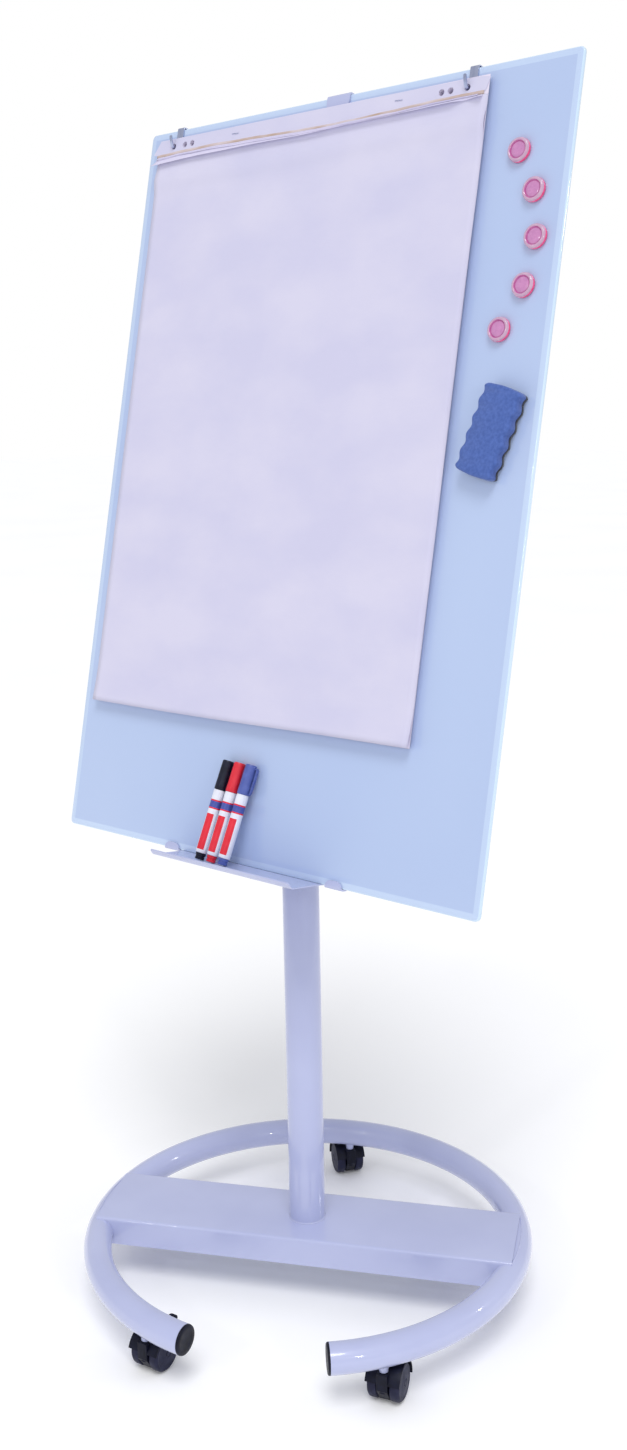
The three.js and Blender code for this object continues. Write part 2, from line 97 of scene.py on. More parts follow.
# ---- materials ----
def srgb(red, green, blue):
    """A display colour, 0 to 255, as the linear colour that a shader takes."""
    def linear(v):
        return v / 12.92 if v <= 0.04045 else ((v + 0.055) / 1.055) ** 2.4
    return tuple(linear(v / 255) for v in (red, green, blue)) + (1,)


class Look:
    """One procedural material, built a feature at a time."""

    def __init__(self, name, slot, metal=0, **sockets):
        self.slot = slot
        self.material = bpy.data.materials.new(name)
        self.material.use_nodes = True
        self.tree = self.material.node_tree
        self.shader = self.tree.nodes["Principled BSDF"]
        self.shader.inputs["Metallic"].default_value = metal
        for socket, value in sockets.items():
            self.shader.inputs[socket.replace("_", " ")].default_value = value
        self.where = self.tree.nodes.new("ShaderNodeTexCoord").outputs["Object"]
        self.normal = None

    def noise(self, scale, detail=3, stretch=(1, 1, 1)):
        """Noise with about scale features per metre, drawn out along an axis by stretch."""
        mapping = self.tree.nodes.new("ShaderNodeMapping")
        mapping.inputs["Scale"].default_value = stretch
        texture = self.tree.nodes.new("ShaderNodeTexNoise")
        texture.inputs["Scale"].default_value = scale
        texture.inputs["Detail"].default_value = detail
        self.tree.links.new(self.where, mapping.inputs["Vector"])
        self.tree.links.new(mapping.outputs["Vector"], texture.inputs["Vector"])
        return texture.outputs[0]

    def colour(self, low, high, pattern):
        ramp = self.tree.nodes.new("ShaderNodeValToRGB")
        ramp.color_ramp.elements[0].position = 0.35
        ramp.color_ramp.elements[1].position = 0.65
        ramp.color_ramp.elements[0].color = srgb(*low)
        ramp.color_ramp.elements[1].color = srgb(*high)
        self.tree.links.new(pattern, ramp.inputs["Fac"])
        self.tree.links.new(ramp.outputs["Color"], self.shader.inputs["Base Color"])
        return self

    def rough(self, low, high, pattern):
        spread = self.tree.nodes.new("ShaderNodeMapRange")
        spread.inputs["From Min"].default_value = 0.3
        spread.inputs["From Max"].default_value = 0.7
        spread.inputs["To Min"].default_value = low
        spread.inputs["To Max"].default_value = high
        self.tree.links.new(pattern, spread.inputs["Value"])
        self.tree.links.new(spread.outputs["Result"], self.shader.inputs["Roughness"])
        return self

    def bump(self, depth, pattern, strength=1.0):
        """Relief of about depth millimetres on top of any there is already."""
        node = self.tree.nodes.new("ShaderNodeBump")
        node.inputs["Strength"].default_value = strength
        node.inputs["Distance"].default_value = depth / 1000
        self.tree.links.new(pattern, node.inputs["Height"])
        if self.normal:
            self.tree.links.new(self.normal, node.inputs["Normal"])
        self.normal = node.outputs["Normal"]
        self.tree.links.new(self.normal, self.shader.inputs["Normal"])
        return self


def painted_steel():
    """Powder coat: an even lilac with a faint orange peel under a clear gloss."""
    look = Look("lilac_paint", "painted_steel", Coat_Weight=1.0, Coat_Roughness=0.05)
    look.colour((175, 181, 218), (182, 188, 223), look.noise(7))
    look.rough(0.3, 0.4, look.noise(60, 4))
    return look.bump(0.02, look.noise(90, 1), 0.1)


def glass_look(name, low, high, **sockets):
    look = Look(name, "glass", IOR=1.52, Coat_Weight=0.5, Coat_Roughness=0.02, **sockets)
    look.colour(low, high, look.noise(2.2, 2))
    look.rough(0.04, 0.11, look.noise(9, 6, (1, 1, 2)))
    return look.bump(0.004, look.noise(14, 1))


def paper_look(name, low, high):
    """Newsprint-like paper: slow drifts of tone, a fine tooth and a slight cockle."""
    look = Look(name, "paper", Sheen_Weight=0.1, Sheen_Roughness=0.6, Specular_IOR_Level=0.15)
    look.colour(low, high, look.noise(11, 6, (0.7, 1, 1.1)))
    look.rough(0.78, 0.9, look.noise(200, 3))
    look.bump(0.02, look.noise(900, 4, (1, 1, 0.4)))
    return look.bump(0.8, look.noise(30, 3, (0.8, 1, 1.2)), 0.5)


def card_look():
    look = Look("pale_card", "card", Specular_IOR_Level=0.2)
    look.colour((196, 188, 206), (210, 203, 219), look.noise(300, 5))
    look.rough(0.8, 0.95, look.noise(120))
    return look.bump(0.08, look.noise(500, 4))


def glue_look():
    """The band of old binding glue: tan, paler where paper fibres cling to it."""
    look = Look("binding_glue", "card")
    look.colour((184, 158, 142), (210, 196, 198), look.noise(22, 4, (1, 1, 5)))
    look.rough(0.6, 0.8, look.noise(80))
    return look.bump(0.15, look.noise(160, 3, (1, 1, 4)))


def bare_steel():
    look = Look("plated_steel", "bare_steel", metal=1)
    look.colour((168, 176, 206), (190, 197, 222), look.noise(120, 5, (1, 1, 0.1)))
    look.rough(0.22, 0.4, look.noise(300, 4, (1, 1, 0.05)))
    return look.bump(0.01, look.noise(700, 2, (1, 1, 0.05)))


def plastic_look(name, slot, low, high, roughness=(0.38, 0.52), grain=0.03, gloss=0.5):
    look = Look(name, slot, Specular_IOR_Level=gloss)
    look.colour(low, high, look.noise(90, 4))
    look.rough(*roughness, look.noise(150, 3))
    return look.bump(grain, look.noise(1300, 2))


def clear_pink():
    """The pale, partly see-through bevel of a magnet's cap."""
    look = Look("clear_pink", "magnet_pink", IOR=1.49, Transmission_Weight=0.35, Coat_Weight=1.0,
                Coat_Roughness=0.03)
    look.colour((240, 200, 230), (230, 186, 222), look.noise(120, 2))
    look.rough(0.05, 0.12, look.noise(200, 2))
    return look.bump(0.01, look.noise(300, 1))


def pink_plastic(name, low, high):
    """Tinted plastic, seen through its depth, for the rim, the well's wall and the core. The rim is
    also painted more vivid, a painted glow of light refracted through it, and the well's wall painted
    darker, painted shade in the recess.
    """
    look = Look(name, "magnet_pink", Coat_Weight=1.0, Coat_Roughness=0.04)
    look.colour(low, high, look.noise(150, 3))
    look.rough(0.2, 0.35, look.noise(200))
    return look.bump(0.02, look.noise(500, 2))


def felt_look():
    look = Look("black_felt", "felt", Sheen_Weight=0.5, Sheen_Roughness=0.5)
    look.colour((20, 22, 34), (40, 44, 62), look.noise(900, 4))
    look.rough(0.9, 1.0, look.noise(300))
    return look.bump(0.35, look.noise(700, 5))


def foam_look():
    look = Look("blue_foam", "eraser_foam", Sheen_Weight=0.2, Sheen_Roughness=0.5)
    look.colour((62, 90, 160), (76, 104, 176), look.noise(260, 6))
    look.rough(0.75, 0.92, look.noise(400))
    return look.bump(0.12, look.noise(1500, 3))


PAINT = painted_steel()
GLASS = glass_look("glass_face", (175, 193, 229), (182, 199, 232))
GLASS_RIM = glass_look("glass_rim", (188, 206, 236), (194, 212, 239))
# The polished edges: the glass's own cyan tint, painted lighter as a glow of light through the pane.
GLASS_EDGE_GLOW = glass_look("glass_edge_painted_glow", (200, 222, 243), (210, 230, 247))
PAPER = paper_look("pad_paper", (203, 201, 226), (211, 208, 229))
TORN = paper_look("torn_paper", (204, 200, 228), (222, 216, 237))
# The leaves' edges: the same paper, painted paler than the sheets' faces as a painted highlight of
# light on the block's sides.
LEAF_EDGES_LIT = paper_look("leaf_edges_painted_highlight", (222, 215, 234), (232, 224, 240))
CARD = card_look()
GLUE = glue_look()
STEEL = bare_steel()
BLACK = plastic_look("black_plastic", "black_plastic", (8, 10, 26), (17, 20, 40), gloss=0.2)
WHEEL = plastic_look("wheel_plastic", "black_plastic", (26, 28, 52), (38, 40, 66), (0.4, 0.55),
                     gloss=0.2)
CLEAR = clear_pink()
# The rim's vivid pink is its tint plus a painted glow of light refracted through the plastic; the
# well's darker pink is its tint plus painted shade in the recess.
RIM_PAINTED_GLOW = pink_plastic("pink_rim_painted_glow", (248, 48, 118), (252, 78, 140))
WELL_PAINTED_SHADE = pink_plastic("pink_well_painted_shade", (184, 84, 152), (194, 98, 162))
CORE = pink_plastic("pink_core", (192, 124, 178), (202, 134, 186))
FELT = felt_look()
FOAM = foam_look()
PRINTED = {"roughness": (0.3, 0.4), "grain": 0.01}
WHITE = plastic_look("marker_white", "marker_white", (222, 224, 238), (230, 232, 244), **PRINTED)
STRIPE_RED = plastic_look("stripe_red", "marker_white", (220, 26, 50), (228, 36, 58), **PRINTED)
STRIPE_BLUE = plastic_look("stripe_blue", "marker_white", (62, 76, 158), (72, 86, 168), **PRINTED)
CAP_ROUGH = (0.3, 0.42)
INK = {
    "black": plastic_look("cap_black", "black_cap", (12, 15, 34), (22, 26, 48), CAP_ROUGH, gloss=0.3),
    "red": plastic_look("cap_red", "red_cap", (208, 26, 48), (222, 38, 58), CAP_ROUGH),
    "blue": plastic_look("cap_blue", "blue_cap", (72, 88, 162), (84, 100, 174), CAP_ROUGH),
}


# ---- building ----
def add(name, data):
    """A new object in the scene."""
    thing = bpy.data.objects.new(name, data)
    scene.collection.objects.link(thing)
    return thing


def placed_mesh(name, solid, at):
    verts, faces = solid
    mesh = bpy.data.meshes.new(name)
    mesh.from_pydata([tuple(v) for v in verts], [], faces)
    mesh.transform(at)
    return mesh


def make(name, solid, look, body, at, replaces=(), bevel=0, more=(), kinds=None, sharp=35):
    """A piece from (verts, faces) in millimetres. kinds gives each face's place in [look, *more]."""
    mesh = placed_mesh(name, solid, at)
    tidy = bmesh.new()
    tidy.from_mesh(mesh)
    bmesh.ops.recalc_face_normals(tidy, faces=tidy.faces)
    tidy.to_mesh(mesh)
    tidy.free()
    for one in (look, *more):
        mesh.materials.append(one.material)
    if kinds:
        mesh.polygons.foreach_set("material_index", kinds)
    mesh.shade_smooth()
    mesh.set_sharp_from_angle(angle=math.radians(sharp))
    piece = add(name, mesh)
    if bevel:
        round_edges(piece, bevel)
    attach(piece, body)
    if replaces:
        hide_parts(*replaces)
    return piece


def round_edges(piece, width, angle=40):
    """Rounds a piece's hard edges by width millimetres."""
    bevel = piece.modifiers.new("round_edges", "BEVEL")
    bevel.width = width / 1000
    bevel.segments = 3
    bevel.limit_method = "ANGLE"
    bevel.angle_limit = math.radians(angle)
    bevel.harden_normals = True


def drill(piece, cutters, at):
    """Cuts these solids out of a piece."""
    bpy.context.view_layer.update()
    tools = []
    for cutter in cutters:
        tools.append(add("cutter", placed_mesh("cutter", cutter, at)))
        modifier = piece.modifiers.new("cut", "BOOLEAN")
        modifier.object = tools[-1]
        modifier.solver = "EXACT"
    graph = bpy.context.evaluated_depsgraph_get()
    piece.data = bpy.data.meshes.new_from_object(piece.evaluated_get(graph))
    piece.modifiers.clear()
    for tool in tools:
        bpy.data.objects.remove(tool)
    return piece


def merged(*solids):
    """Several (verts, faces) as one."""
    verts, faces = [], []
    for v, f in solids:
        start = len(verts)
        verts += list(v)
        faces += [[start + i for i in face] for face in f]
    return verts, faces


def moved(solid, matrix):
    verts, faces = solid
    return [matrix @ Vector(v) for v in verts], faces


def soften(points, radius, steps=4, closed=False):
    """The outline with each corner turned into a short curve."""
    points = [Vector(p) for p in points]
    made = []
    for i, corner in enumerate(points):
        if not closed and i in (0, len(points) - 1):
            made.append(corner)
            continue
        before = points[i - 1] - corner
        after = points[(i + 1) % len(points)] - corner
        reach = min(radius, before.length * 0.48, after.length * 0.48)
        a = corner + before.normalized() * reach
        b = corner + after.normalized() * reach
        for k in range(steps + 1):
            t = k / steps
            made.append(a * (1 - t) ** 2 + corner * 2 * t * (1 - t) + b * t * t)
    return made


def skin(rings, closed_ring=True, closed_path=False, caps=True):
    """A surface through rings of points, all with the same count."""
    count = len(rings[0])
    verts = [p for ring in rings for p in ring]
    faces = []
    for i in range(len(rings) if closed_path else len(rings) - 1):
        j = (i + 1) % len(rings)
        for k in range(count if closed_ring else count - 1):
            n = (k + 1) % count
            faces.append([i * count + k, i * count + n, j * count + n, j * count + k])
    if caps and not closed_path:
        faces.append(list(range(count)))
        faces.append([(len(rings) - 1) * count + k for k in range(count)])
    return verts, faces


def turned(profile, sides=48, closed=False):
    """A profile of (radius, height) turned about z. Ends that are off the axis are capped."""
    turns = [2 * math.pi * k / sides for k in range(sides)]
    rings = [[Vector((r * math.cos(t), r * math.sin(t), z)) for t in turns] for r, z in profile]
    return skin(rings, closed_path=closed)


def slab(outline, layers):
    """A plate whose outline lies in xz, through layers of (how far the outline draws in, y)."""
    points = [Vector(p) for p in outline]
    area = sum(a.x * b.y - b.x * a.y for a, b in zip(points, points[1:] + points[:1]))
    way = 1 if area > 0 else -1
    inward = []
    for i, p in enumerate(points):
        before = (p - points[i - 1]).normalized()
        after = (points[(i + 1) % len(points)] - p).normalized()
        along = (before + after).normalized()
        inward.append(Vector((-along.y, along.x)) * way)
    rings = []
    for draw, y in layers:
        ring = [p + n * draw for p, n in zip(points, inward)]
        rings.append([Vector((p.x, y, p.y)) for p in ring])
    return skin(rings)


def rounded_layers(y0, y1, radius, steps=3):
    """Layers for slab() that round both of its rims."""
    angles = [math.pi / 2 * k / steps for k in range(steps + 1)]
    near = [(radius * (1 - math.sin(a)), y0 + radius * (1 - math.cos(a))) for a in angles]
    far = [(draw, y0 + y1 - y) for draw, y in reversed(near)]
    return near + far


def rectangle(x0, z0, x1, z1, radius, steps=6):
    return soften([(x0, z0), (x1, z0), (x1, z1), (x0, z1)], radius, steps, closed=True)


def strap(path, x, width, thickness, bend=2.5, start=0, end=0):
    """A bent strip: a path of (y, z) with a width along x. start and end round the ends' corners."""
    line = soften(path, bend)
    along = [0]
    for a, b in zip(line, line[1:]):
        along.append(along[-1] + (b - a).length)
    total = along[-1]
    stops = set(round(s, 4) for s in along)
    for k in range(9):
        quarter = 1 - math.cos(math.pi / 2 * k / 8)
        stops.add(round(start * quarter, 4))
        stops.add(round(total - end * quarter, 4))
    rings = []
    for s in sorted(stops):
        i = max(j for j in range(len(along) - 1) if along[j] <= s + 1e-6)
        span = max(along[i + 1] - along[i], 1e-9)
        here = line[i].lerp(line[i + 1], min(1, (s - along[i]) / span))
        tangent = (line[min(i + 1, len(line) - 1)] - line[i]).normalized()
        side = Vector((tangent.y, -tangent.x)) * thickness / 2
        half = width / 2
        for corner, gone in ((start, s), (end, total - s)):
            if corner and gone < corner:
                half -= corner - math.sqrt(max(0, corner ** 2 - (corner - gone) ** 2))
        a, b = here + side, here - side
        rings.append([Vector((x - half, a.x, a.y)), Vector((x + half, a.x, a.y)),
                      Vector((x + half, b.x, b.y)), Vector((x - half, b.x, b.y))])
    return skin(rings)


def rod(path, radius, sides=10):
    """A round bar along 3-D points, with a rounded tip at its end."""
    points = [Vector(p) for p in path]
    rings = []
    for i, p in enumerate(points):
        tangent = (points[min(i + 1, len(points) - 1)] - points[max(i - 1, 0)]).normalized()
        a = tangent.orthogonal() if i == 0 else a - tangent * a.dot(tangent)
        a = a.normalized()
        b = tangent.cross(a)
        size = radius if i < len(points) - 1 else radius * 0.5
        turn = [2 * math.pi * k / sides for k in range(sides)]
        rings.append([p + (a * math.cos(t) + b * math.sin(t)) * size for t in turn])
    return skin(rings)


def finish_node(name, look, bevel=0):
    """Keeps a CAD node, with a finished material and rounded edges."""
    node = frame["nodes"][name]
    node.data.materials.clear()
    node.data.materials.append(look.material)
    if bevel:
        weld = node.modifiers.new("weld", "WELD")
        weld.merge_threshold = 0.00002
        round_edges(node, bevel)


ALONG_X = Matrix.Rotation(math.pi / 2, 4, "Y")
ALONG_Y = Matrix.Rotation(-math.pi / 2, 4, "X")


# ---- base ----
def make_ring():
    gap = math.radians(RING_GAP)
    steps, sides = 160, 40
    up = Vector((0, 0, 1))
    around = [2 * math.pi * k / sides for k in range(sides)]
    rings = []
    for i in range(steps + 1):
        a = -math.pi / 2 + gap + (2 * math.pi - 2 * gap) * i / steps
        out = Vector((math.cos(a), math.sin(a), 0))
        centre = out * RING_R + up * RING_Z
        rings.append([centre + (out * math.cos(t) + up * math.sin(t)) * TUBE_R for t in around])
    bosses = []
    for name in CASTORS:
        stem = BASE.inverted() @ Vector(joints[f"castor_{name}_swivel"]["pos_m"])
        profile = [(4.3, 47.5), (5.4, 47.5), (5.9, 48), (7.5, 58), (7.5, 60)]
        bosses.append(moved(turned(profile, 32), Matrix.Translation((stem.x, stem.y, 0))))
    make("base_ring_tube", merged(skin(rings), *bosses), PAINT, "base", BASE, ["base_ring"])


def make_crossbar():
    """A channel, open below, whose ends follow the ring's crown."""
    half, top, bottom, wall, reach = 67.5, 98.8, 59.4, 3, 311.5
    inside, under = half - wall, top - wall
    outer = soften([(-half, bottom), (-half, top), (half, top), (half, bottom)], 5, 5)
    inner = soften([(inside, bottom), (inside, under), (-inside, under), (-inside, bottom)], 2.5, 5)
    section = outer + inner
    rings = []
    for k in range(25):
        t = -1 + 2 * k / 24
        rings.append([Vector((t * math.sqrt(reach ** 2 - p.x ** 2), p.x, p.y)) for p in section])
    make("crossbar_channel", skin(rings), PAINT, "base", BASE, ["crossbar"], sharp=40)


def make_seam_weld():
    """The thin bead where each end of the crossbar lies on the ring's crown."""
    steps, reach = 24, 0.215  # radians each side of the crossbar's middle
    for side, turn in (("right", 0), ("left", math.pi)):
        points = []
        for k in range(steps + 1):
            a = turn - reach + 2 * reach * k / steps
            out = 311.4 + 0.25 * math.sin(k * 2.1)
            points.append((math.cos(a) * out, math.sin(a) * out, 95.2))
        make(f"weld_bead_{side}", rod(points, 1.1, 8), PAINT, "base", BASE)


def make_end_caps():
    lid = [(0, -3.1), (12, -3.1), (13, -3.3), (18.2, -3.3), (19.4, -2.6), (19.9, -1.2), (19.9, -0.2)]
    plug = [(17.2, -0.2), (17, 7), (12, 7.5), (12, 0), (0, 0)]
    for name, side in (("left", -1), ("right", 1)):
        a = -math.pi / 2 + side * math.radians(RING_GAP)
        centre = Vector((math.cos(a) * RING_R, math.sin(a) * RING_R, RING_Z))
        inward = Matrix.Rotation(a if side > 0 else a + math.pi, 4, "Z") @ ALONG_Y
        cap = moved(turned(lid + plug), Matrix.Translation(centre) @ inward)
        make(f"tube_cap_{name}", cap, BLACK, "base", BASE, [f"end_cap_{name}"])


# ---- castors ----
AXLE = Matrix.Translation((0, TRAIL, WHEEL_R))


def make_wheel(name, end, at):
    """One wheel: a tread, and a shallow dished face with a raised rim and a hub cap."""
    tread = [(3.2, 8.6), (22.5, 8.6), (24.4, 9.4), (25, 10.6), (25, 17.6), (24.6, 19.6), (23.2, 21.4)]
    face = [(21.6, 22.2), (20.6, 22), (19.8, 21.8), (12, 22.9), (5.4, 23.3)]
    hub = [(5, 22.7), (4.2, 22.7), (3.8, 23.4), (0, 23.4), (0, 16), (3.2, 16)]
    side = Matrix.Rotation(math.pi, 4, "Z") if end == "a" else Matrix.Identity(4)
    wheel = moved(turned(tread + face + hub, 64, closed=True), AXLE @ side @ ALONG_X)
    body = f"wheel_{name}_{end}"
    make(body, wheel, WHEEL, body, at, [f"castor_{name}_wheel_{end}"], sharp=28)


def yz_slab(outline, x0, x1, rim):
    """A plate whose outline lies in yz, from x0 to x1, with rounded rims."""
    verts, faces = slab(outline, rounded_layers(x0, x1, rim))
    return [Vector((v.y, v.x, v.z)) for v in verts], faces


def make_hood(name, at):
    """The castor's body: a web between the wheels, and a mudguard that wraps over each of them."""
    def arc(radius, start, stop, steps=18):
        turns = [math.radians(start + (stop - start) * k / steps) for k in range(steps + 1)]
        return [(TRAIL + radius * math.cos(t), WHEEL_R + radius * math.sin(t)) for t in turns]

    guard = arc(28, -6, 163) + arc(26.1, 163, -6)
    web = arc(26.8, -60, 100) + [(8, 46.6), (-8.8, 46.6), (-9.2, 24), (3, 6)]
    parts = [yz_slab(web, -7.6, 7.6, 0.8)]
    for x0, x1 in ((-23.5, -6), (6, 23.5)):
        parts.append(yz_slab(guard, x0, x1, 0.5))
    for x in (-7.9, 7.4):
        parts.append(yz_slab(arc(21, 20, 150) + arc(17, 150, 20), x, x + 0.6, 0.2))
    socket = [(4.3, 20), (4.3, 47), (7.3, 47), (8.1, 46.2), (8.1, 20)]
    parts.append(turned(socket, 32, closed=True))
    body = f"castor_{name}"
    make(f"{body}_body", merged(*parts), BLACK, body, at, [f"{body}_hood"], sharp=30)
    pin = [(0, -15.4), (2.6, -15.4), (3, -15), (3, 15), (2.6, 15.4), (0, 15.4)]
    make(f"{body}_pin", moved(turned(pin, 24), AXLE @ ALONG_X), STEEL, body, at, [f"{body}_axle"])
    stem = [(0, 16), (3.4, 16), (4, 17), (4, 44), (3.5, 44.6), (3.5, 46), (4, 46.6), (4, 73.4),
            (3.4, 74), (0, 74)]
    make(f"{body}_stud", turned(stem, 24), STEEL, body, at, [f"{body}_stem"])


def make_brake(name, at):
    """A bent pedal with three ribs across its tread."""
    line = [(45.6, 27.5), (43.9, 37.5), (50.2, 43.9), (58, 47.4), (63, 48.4)]
    parts = [strap(line, 0, 14, 2.2, 3, 0, 4)]
    for k in range(3):
        y, z = 53 + 3 * k, 47.1 + 0.9 * k
        parts.append(strap([(y, z), (y + 1.2, z + 0.4)], 0, 10, 0.8, 0.2))
    node = f"castor_{name}_brake"
    make(f"brake_pedal_{name}", merged(*parts), BLACK, f"brake_{name}", at, [node], bevel=0.4)


# ---- column ----
def make_column():
    """The painted outer tube with its collar, and the plain mast that slides in it."""
    tube = [(23.8, 99.1), (25.7, 99.1), (26, 99.5), (26, 661.4), (25.6, 662), (24.2, 662),
            (23.8, 661.5)]
    make("column_tube", turned(tube, 72, closed=True), PAINT, "column", WORLD, ["outer_column"])
    seam = [(26.05, 98.9), (27.1, 98.9), (26.9, 99.4), (26.4, 100.1), (26.05, 100.8)]
    make("column_foot_seal", turned(seam, 72, closed=True), PAINT, "column", WORLD)
    corners = [(19.4, 636), (23.4, 636), (23.4, 662.3), (31, 662.3), (31, 690), (19.4, 690)]
    collar = turned(soften(corners, 1.6, 3, True), 64, closed=True)
    boss = [(7.5, 26), (7.5, 33.2), (6.8, 34), (4.4, 34), (4.4, 26)]
    knob_boss = moved(turned(boss, 32, closed=True), Matrix.Translation((0, 0, KNOB_Z)) @ ALONG_Y)
    make("column_collar", merged(collar, knob_boss), BLACK, "column", WORLD, ["column_bush"])
    mast = [(17, 300), (18.6, 300), (19, 300.5), (19, 820), (17, 820)]
    make("mast_tube", turned(mast, 64, closed=True), STEEL, "mast", WORLD, ["inner_column"])
    finish_node("foot_plug", STEEL)
    finish_node("inner_glide", BLACK)


def star(radius, lobes=6, steps=72):
    turns = [2 * math.pi * k / steps for k in range(steps)]
    reach = [radius * (0.9 + 0.1 * math.cos(lobes * t)) for t in turns]
    return [(r * math.cos(t), r * math.sin(t)) for r, t in zip(reach, turns)]


def knob(radius, start, length):
    """A star grip along +y, with a disc on its end."""
    grip = slab(star(radius), rounded_layers(start, start + length, 3, 5))
    end = Matrix.Translation((0, start + length, 0)) @ ALONG_Y
    cap = moved(turned([(radius * 0.5, -0.5), (radius * 0.46, 0.9), (0, 1.3)], 32), end)
    return merged(grip, cap)


def threaded_stud(start, end):
    """A stud along +y, ridged like a thread."""
    profile = [(0, start), (3.4, start)]
    ridge = start + 0.6
    while ridge < end - 1:
        profile += [(4, ridge), (3.5, ridge + 0.6)]
        ridge += 1.2
    profile.append((3.9, end))
    return moved(turned(profile, 24), ALONG_Y)


def make_height_knob():
    at = WORLD @ Matrix.Translation((0, 0, KNOB_Z))
    make("height_knob_grip", knob(19, 34, 18), BLACK, "height_knob", at, ["height_knob"], sharp=50)
    make("height_knob_stud", threaded_stud(19.4, 36), STEEL, "height_knob", at)


def make_tilt_knob():
    at = WORLD @ Matrix.Translation((0, 0, PIVOT_Z)) @ Matrix.Rotation(-math.pi / 2, 4, "Z")
    make("tilt_knob_grip", knob(17, 23, 15), BLACK, "tilt_knob", at, ["tilt_knob"], sharp=50)


def make_head():
    """The fork on the mast: a cap, a spigot inside the tube, and two round-topped ears."""
    spigot = [(0, 796), (16.4, 796), (16.6, 797), (16.6, 820.3)]
    cap = [(20, 820.3), (20, 829.6), (18.6, 831), (0, 831)]
    arc = [math.pi * k / 18 for k in range(19)]
    ear = [(-14, 829), (14, 829)] + [(14 * math.cos(a), PIVOT_Z + 14 * math.sin(a)) for a in arc]
    ears = [yz_slab(ear, x, x + 6, 0.8) for x in (-18.5, 12.5)]
    make("tilt_fork", merged(turned(spigot + cap), *ears), BLACK, "mast", WORLD, ["tilt_head"])
    hexagon = [(9 * math.cos(math.pi / 3 * k), 9 * math.sin(math.pi / 3 * k)) for k in range(6)]
    head = yz_slab(hexagon, -25, -18.9, 0.7)
    shank = moved(turned([(0, -20), (5, -20), (5, 29.4), (4.4, 30), (0, 30)], 32), ALONG_X)
    pivot = WORLD @ Matrix.Translation((0, 0, PIVOT_Z))
    make("tilt_bolt_hex", merged(head, shank), STEEL, "mast", pivot, ["tilt_bolt"])


# ---- board ----
RIM = 9  # the clear strip round the glass, outside the backing


def make_glass():
    """The pane. The outer strip of its front has a paler look than its face. Its edges are painted
    paler still: their cyan tint is the glass's own, their extra lightness a painted glow of light
    through the polished glass.
    """
    half, corner = GLASS_W / 2, 8
    rings = []
    for draw, y in [(RIM, 0), (1.4, 0), (0.4, 0.5), (0, 1.3), (0, 4.7), (0.4, 5.5), (1.4, GLASS_T)]:
        loop = rectangle(draw - half, draw, half - draw, GLASS_H - draw, max(corner - draw, 1), 8)
        rings.append([Vector((p.x, y, p.y)) for p in loop])
    verts, faces = skin(rings)
    # The edge faces take the painted glow of light through the polished glass.
    face, rim, edge = 0, 1, 2
    count = len(rings[0])
    kinds = [rim] * count + [edge] * count * 5 + [face, face]
    make("glass_pane", (verts, faces), GLASS, "board", BOARD, ["glass_panel"],
         more=[GLASS_RIM, GLASS_EDGE_GLOW], kinds=kinds, sharp=60)


def box_tube(x0, z0, x1, z1, y0, y1, wall, along_z):
    """An open rectangular tube with rounded corners."""
    if along_z:
        outer = rectangle(x0, y0, x1, y1, 2.4, 4)
        inner = rectangle(x0 + wall, y0 + wall, x1 - wall, y1 - wall, 1.2, 4)
        ends = [(outer, z0), (outer, z1), (inner, z1), (inner, z0)]
        rings = [[Vector((p.x, p.y, z)) for p in loop] for loop, z in ends]
    else:
        outer = rectangle(y0, z0, y1, z1, 2.4, 4)
        inner = rectangle(y0 + wall, z0 + wall, y1 - wall, z1 - wall, 1.2, 4)
        ends = [(outer, x0), (outer, x1), (inner, x1), (inner, x0)]
        rings = [[Vector((x, p.x, p.y)) for p in loop] for loop, x in ends]
    return skin(rings, closed_path=True)


def make_back_frame():
    near, far, wall = 11, 23, 1.5  # how far behind the glass's face the tubes lie
    upright = box_tube(-20, 46.5, 20, 1044, near, far, wall, True)
    make("back_upright", upright, PAINT, "board", BOARD, ["spine"])
    rail = box_tube(-175, 8, 175, 46, near, far, wall, False)
    make("back_rail", rail, PAINT, "board", BOARD, ["bottom_bar"])
    sheet = slab(rectangle(-365, 10, 365, 1040, 5), rounded_layers(6.3, 7.1, 0.2))
    make("backing_sheet", sheet, PAINT, "board", BOARD, ["steel_backing"])
    finish_node("tilt_bracket", STEEL, 0.8)
    head = [(0, 2.6), (2.4, 2.4), (4, 1.4), (4.4, 0), (0, 0)]
    for name, x, z in (("a", -24, 200), ("b", 24, 200), ("c", -24, 254), ("d", 24, 254)):
        place = Matrix.Translation((x, 28.1, z)) @ ALONG_Y
        make(f"bracket_screw_{name}", moved(turned(head, 24), place), STEEL, "board", BOARD)


def make_clip(name, x, half, tab, corner, up):
    """A clip over the glass's edge: a round-cornered tab in front, a web, and a leg behind."""
    thick, gap, back, leg = 2.5, 0.3, 10.7, 45
    edge = GLASS_H if up else 0
    way = 1 if up else -1
    lip = edge + way * (gap + thick / 2)
    front = -gap - thick / 2
    behind = back - thick / 2
    path = [(front, edge - way * tab), (front, lip), (behind, lip), (behind, lip - way * leg)]
    made = strap(path, x, 2 * half, thick, 2.4, corner, 3)
    make(f"{name}_strap", made, PAINT, "board", BOARD, [name], bevel=0.4)


def make_tray():
    """A bent sheet: a flange behind the glass, a floor that falls away from it, and a lip."""
    width, thick, bend, corner = 255, 1.5, 3.4, 3
    path = [(8.45, 40), (8.45, -0.8), (-1, -0.8), (-58, -4.25), (-65.7, 3.2)]
    tray = strap(path, 0, width, thick, bend, corner, corner)
    piece = make("tray_sheet", tray, PAINT, "board", BOARD, ["marker_tray"])
    hole = turned([(2, -10), (2, 5)], 20)
    drill(piece, [moved(hole, Matrix.Translation((x, -5, 0))) for x in (-12, 121)], BOARD)
    round_edges(piece, 0.3)


